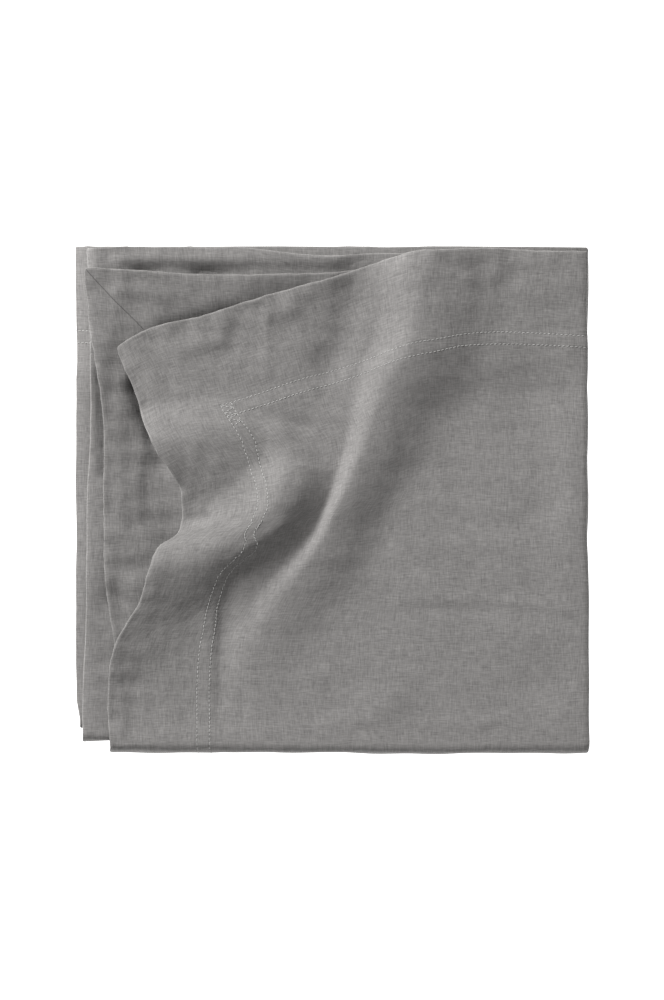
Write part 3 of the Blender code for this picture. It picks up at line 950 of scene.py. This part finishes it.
def linen(name, settings, wrong_side):
    """Washed plain-woven linen with its slubs and its stitched hem and, on the wrong side, the mitre
    seams. Its edges and folds are lighter, partly from wear and partly as painted highlight, and its
    rows of stitches are darker as painted shade."""
    finish = Finish(name)
    u, v = finish.pair("Weave")
    side, end = finish.pair("Hem")
    edge = side.lower_of(end)
    outer = settings.outer_row
    # How far each fold is lightened, partly as wear and partly as painted highlight on its rim
    wear_and_highlight = finish.node("ShaderNodeAttribute", {"attribute_name": "fold_wear_and_highlight"}, {}, 2)

    streaks = product(((u, v), (v, u)), THREADS)
    threads = [finish.streaks(*way, *size, seed) for seed, (way, size) in enumerate(streaks, 1)]
    weave = sum(threads[1:], threads[0]) / len(threads)
    mottle = finish.streaks(u, v, MOTTLE_SIZE, MOTTLE_SIZE, seed=5, detail=3)
    gather = finish.streaks(u, v, *GATHER_SIZE, seed=6, detail=2)
    in_hem = edge.rise(settings.hem_depth + HEM_BLUR, settings.hem_depth - HEM_BLUR)
    rows = 0
    for near, far in ((side, end), (end, side)):
        past_corner = far.rise(outer - ROW_END, outer)
        for place in (outer, settings.inner_row):
            rows = near.line(place, ROW_WIDTH) * past_corner + rows
    # The outer edge is lightened in spots, partly as frayed wear and partly as painted highlight on its
    # rim
    spots = finish.streaks(u, v, FRAY_HIGHLIGHT_SIZE, FRAY_HIGHLIGHT_SIZE, seed=7).rise(*FRAY_HIGHLIGHT_NOISE)
    fray_and_painted_highlight = edge.rise(*FRAYED_EDGE_AND_HIGHLIGHT) * spots

    height = weave * WEAVE.height + mottle * MOTTLE.height + gather * in_hem * GATHER.height
    height = height + in_hem * DOUBLE.height + rows * ROW.height
    tone = (weave - 0.5) * WEAVE.tone + 0.5 + (mottle - 0.5) * MOTTLE.tone
    # The frayed edge and the folds are lightened, partly as wear and partly as painted highlight, and
    # the rows are darkened as painted shade in their dents
    tone = tone + (fray_and_painted_highlight + wear_and_highlight) * WORN_AND_HIGHLIT.tone + rows * ROW.tone
    if wrong_side:
        seam = abs(side - end).rise(*SEAM_EDGES) * edge.rise(outer, outer - ROW_END)
        height = height + seam * SEAM.height
        tone = tone + seam * SEAM.tone
    color = finish.blend(
        shaded(settings.linen_color, 1 - TONE_RANGE), shaded(settings.linen_color, 1 + TONE_RANGE), tone
    )
    normal = finish.node("ShaderNodeBump", {}, {"Strength": 1.0, "Distance": MM, "Height": height})
    return finish.surface(
        Base_Color=color, Roughness=0.9, Normal=normal, Specular_IOR_Level=0.25,
        Sheen_Weight=0.12, Sheen_Roughness=0.5,
    )


def thread(settings):
    """Pale cotton sewing thread."""
    finish = Finish("thread")
    place = finish.node("ShaderNodeTexCoord", {}, {}, 3)
    grain = finish.node("ShaderNodeTexNoise", {}, {"Vector": place, "Scale": 900.0, "Detail": 1.0})
    color = finish.blend(shaded(settings.thread_color, 0.8), shaded(settings.thread_color, 1.2), grain)
    return finish.surface(Base_Color=color, Roughness=0.75, Specular_IOR_Level=0.3)


def mesh_of(shape, name):
    """A mesh with the shape that was built up in a bmesh."""
    mesh = bpy.data.meshes.new(name)
    shape.to_mesh(mesh)
    shape.free()
    return mesh


def placed(name, data):
    """A new object in the scene."""
    item = bpy.data.objects.new(name, data)
    bpy.context.collection.objects.link(item)
    return item


def finished_piece(name, mesh, *materials):
    """A piece of the tablecloth, in place."""
    piece = placed(name, mesh)
    for material in materials:
        mesh.materials.append(material)
    mesh.shade_smooth()
    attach(piece, "root")
    return piece


def grid_mesh(name, cloth):
    """A grid laid out on the cloth's points, with its weave and hem maps and the wear and painted
    highlight on its folds.
    """
    columns, rows = cloth.u.shape
    grid = bmesh.new()
    bmesh.ops.create_grid(grid, x_segments=columns - 1, y_segments=rows - 1, size=0.5)
    mesh = mesh_of(grid, name)
    flat = np.zeros(len(mesh.vertices) * 3)
    mesh.vertices.foreach_get("co", flat)
    flat = flat.reshape(-1, 3)
    column = np.rint((flat[:, X] + 0.5) * (columns - 1)).astype(int)
    row = np.rint((0.5 - flat[:, Y]) * (rows - 1)).astype(int)
    mesh.vertices.foreach_set("co", (cloth.points[:, column, row].T * MM).ravel())

    corners = np.zeros(len(mesh.loops), int)
    mesh.loops.foreach_get("vertex_index", corners)
    maps = (("Weave", cloth.weave_u, cloth.weave_v), ("Hem", cloth.from_side, cloth.from_end))
    for map_name, *values in maps:
        uv_map = mesh.uv_layers.new(name=map_name)
        pairs = np.stack([value[column, row] for value in values], axis=-1) * MM
        uv_map.uv.foreach_set("vector", pairs[corners].ravel())
    # The folds between the panels are marked for paler wear and for painted highlight on their rims
    wear_and_highlight = mesh.attributes.new("fold_wear_and_highlight", "FLOAT", "POINT")
    worn_and_highlit = np.maximum(cloth.across.bulge[:, None], 0) ** WEAR_HIGHLIGHT_POWER * np.ones(rows)
    wear_and_highlight.data.foreach_set("value", worn_and_highlit[column, row])
    mesh.update()
    return mesh, column, row


def hem_weights(cloth, settings):
    """How thick the cloth is at each point, as a share of the hem: double there, round at its edge, and
    less where it is pressed."""
    edge = cloth.from_edge * MM
    single = settings.single_thickness / settings.hem_thickness
    in_hem = smooth_step((settings.hem_depth + HEM_FADE - edge) / (2 * HEM_FADE))
    weights = single + (1 - single) * in_hem
    beneath = cloth.level < cloth.level.max() - PITCH / 2
    weights *= np.where(beneath, np.clip(cloth.points[Z] / cloth.level, LEAST_PRESSED, 1), 1)
    return weights * np.sqrt(np.clip(EDGE_START + edge / settings.hem_thickness, 0, 1))


def stitch_line(cloth, start, end, pitch):
    """Where the stitches of a straight seam lie: their middles, their directions and the way up."""
    start, end = np.array(start) / MM, np.array(end) / MM
    samples = int(np.linalg.norm(end - start)) + 2
    places = [cloth.locate(*(start + (end - start) * share)) for share in np.linspace(0, 1, samples)]
    columns, rows = np.array(places).T
    line, up = (cloth.at(values, columns, rows) for values in (cloth.points, cloth.normals))
    lengths = np.insert(np.cumsum(np.linalg.norm(np.diff(line, axis=1), axis=0)), 0, 0.0)
    way = np.gradient(line, axis=1)
    middles = np.arange(pitch / MM / 2, lengths[-1], pitch / MM)
    return [
        np.array([np.interp(middles, lengths, part) for part in values]).T for values in (line, way, up)
    ]


def bead_mesh():
    """A small round bead, one unit across, which each stitch is drawn out from."""
    bead = bmesh.new()
    bmesh.ops.create_uvsphere(bead, u_segments=6, v_segments=5, radius=0.5)
    # The faces come in another order each run, so they are put in one by where they lie
    bead.faces.sort(key=lambda face: face.calc_center_median() @ Vector((1, 10, 100)))
    return mesh_of(bead, "bead")


def add_stitch(seams, bead, middle, way, up, length, width, slant):
    """One stitch: a long bead of thread, pressed into the cloth."""
    up = Vector(up).normalized()
    side = up.cross(Vector(way)).normalized()
    way = (side.cross(up) * cos(slant) + side * sin(slant)).normalized()
    side = up.cross(way)
    place = Matrix((side * width, up * width * STITCH_HEIGHT, way * length)).transposed().to_4x4()
    place.translation = middle
    stitch = bead.copy()
    stitch.transform(place)
    seams.from_mesh(stitch)
    bpy.data.meshes.remove(stitch)


class TABLECLOTH_OT_cloth(bpy.types.Operator):
    """Lay the folded linen cloth"""

    bl_idname = "tablecloth.cloth"
    bl_label = "Folded cloth"

    def execute(self, context):
        settings = context.scene.tablecloth
        cloth = Cloth()
        mesh, column, row = grid_mesh("tablecloth_linen", cloth)
        piece = finished_piece(
            "tablecloth_linen", mesh,
            linen("linen right side", settings, False), linen("linen wrong side", settings, True),
        )
        group = piece.vertex_groups.new(name="hem")
        for index, weight in enumerate(hem_weights(cloth, settings)[column, row].tolist()):
            group.add([index], weight, "REPLACE")
        thickness = piece.modifiers.new("thickness", "SOLIDIFY")
        thickness.thickness = settings.hem_thickness
        thickness.offset = 0.0
        thickness.vertex_group = "hem"
        thickness.material_offset = 1
        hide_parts("tablecloth")
        return {"FINISHED"}


class TABLECLOTH_OT_stitches(bpy.types.Operator):
    """Sew the hem's two rows of stitches, where they show"""

    bl_idname = "tablecloth.stitches"
    bl_label = "Hem stitches"

    def execute(self, context):
        settings = context.scene.tablecloth
        cloth = Cloth()
        outer, inner = settings.outer_row, settings.inner_row
        top_end, under_end = cloth.ends_of_top()
        lines = [((row, outer), (row, under_end)) for row in (outer, inner)]
        lines += [((outer, row), (top_end, row)) for row in (outer, inner)]
        corners = [((outer, inner)[number % 2], place) for number, place in enumerate(ZIGZAG)]
        lines += list(zip(corners, corners[1:]))
        start, end = (cloth.lowest_fold() + reach for reach in LOWEST_ROWS)
        lines += [((start, -row), (end, -row)) for row in (outer, inner)]
        drawing = np.random.default_rng(STITCH_SEED)
        seams, bead = bmesh.new(), bead_mesh()
        rise = settings.hem_thickness * STITCH_RAISE
        for start, end in lines:
            for middle, way, up in zip(*stitch_line(cloth, start, end, settings.stitch_pitch)):
                add_stitch(
                    seams, bead, middle * MM + up * rise, way, up,
                    settings.stitch_pitch * drawing.uniform(*STITCH_FILL), settings.thread_width,
                    radians(drawing.uniform(*STITCH_SLANT)),
                )
        mesh = mesh_of(seams, "hem_stitches")
        bpy.data.meshes.remove(bead)
        stitches = finished_piece("hem_stitches", mesh, thread(settings))
        return {"FINISHED"}


class TABLECLOTH_OT_stage(bpy.types.Operator):
    """Set the pale floor, the soft light and the camera straight above"""

    bl_idname = "tablecloth.stage"
    bl_label = "Stage"

    def execute(self, context):
        stage = context.scene.tablecloth_stage
        slab = bmesh.new()
        bmesh.ops.create_grid(slab, x_segments=1, y_segments=1, size=FLOOR_HALF)
        mesh = mesh_of(slab, "floor")
        finish = Finish("pale floor")
        mesh.materials.append(finish.surface(
            Base_Color=tuple(stage.floor_color), Roughness=0.9,
            Emission_Color=(1.0, 1.0, 1.0, 1.0), Emission_Strength=stage.floor_glow,
        ))
        floor = placed("floor", mesh)

        light = bpy.data.lights.new("key", "AREA")
        light.shape = "DISK"
        light.size = KEY_SIZE
        light.energy = stage.key_power
        key = placed("key", light)
        level = cos(stage.key_height)
        key.location = KEY_DISTANCE * Vector(
            (-level * cos(stage.key_side), level * sin(stage.key_side), sin(stage.key_height))
        )
        key.rotation_euler = key.location.to_track_quat("Z", "Y").to_euler()

        world = bpy.data.worlds.new("fill")
        world.use_nodes = True
        background = world.node_tree.nodes["Background"]
        background.inputs["Color"].default_value = (1.0, 1.0, 1.0, 1.0)
        background.inputs["Strength"].default_value = stage.fill_strength
        context.scene.world = world
        context.scene.view_settings.view_transform = "Standard"

        lens = bpy.data.cameras.new("camera")
        top = (LOWEST_MIDDLE + (BLOCK_LEVELS[0] - BLOCK_LEVELS[1] + 2 * PANEL_LEVELS[0]) * PITCH) * MM
        lens.lens = lens.sensor_width * (stage.camera_height - top) / stage.view_height
        camera = placed("camera", lens)
        camera.location = (0.0, 0.0, stage.camera_height)
        context.scene.camera = camera
        return {"FINISHED"}


class TABLECLOTH_PT_panel(bpy.types.Panel):
    """The tablecloth's settings and the steps that make it"""

    bl_label = "Folded Tablecloth"
    bl_idname = "TABLECLOTH_PT_panel"
    bl_space_type = "VIEW_3D"
    bl_region_type = "UI"
    bl_category = "Tablecloth"

    def draw(self, context):
        for group in (context.scene.tablecloth, context.scene.tablecloth_stage):
            box = self.layout.box()
            for name in group.bl_rna.properties.keys():
                if name not in ("rna_type", "name"):
                    box.prop(group, name)
        for step in STEPS:
            self.layout.operator(step.bl_idname)


STEPS = (TABLECLOTH_OT_cloth, TABLECLOTH_OT_stitches, TABLECLOTH_OT_stage)
CLASSES = (TableclothSettings, TableclothStageSettings, *STEPS, TABLECLOTH_PT_panel)


def register():
    for item in CLASSES:
        bpy.utils.register_class(item)
    bpy.types.Scene.tablecloth = PointerProperty(type=TableclothSettings)
    bpy.types.Scene.tablecloth_stage = PointerProperty(type=TableclothStageSettings)


def unregister():
    del bpy.types.Scene.tablecloth_stage
    del bpy.types.Scene.tablecloth
    for item in reversed(CLASSES):
        bpy.utils.unregister_class(item)


def main():
    register()
    bpy.ops.tablecloth.cloth()
    bpy.ops.tablecloth.stitches()
    bpy.ops.tablecloth.stage()


if __name__ == "__main__":
    main()
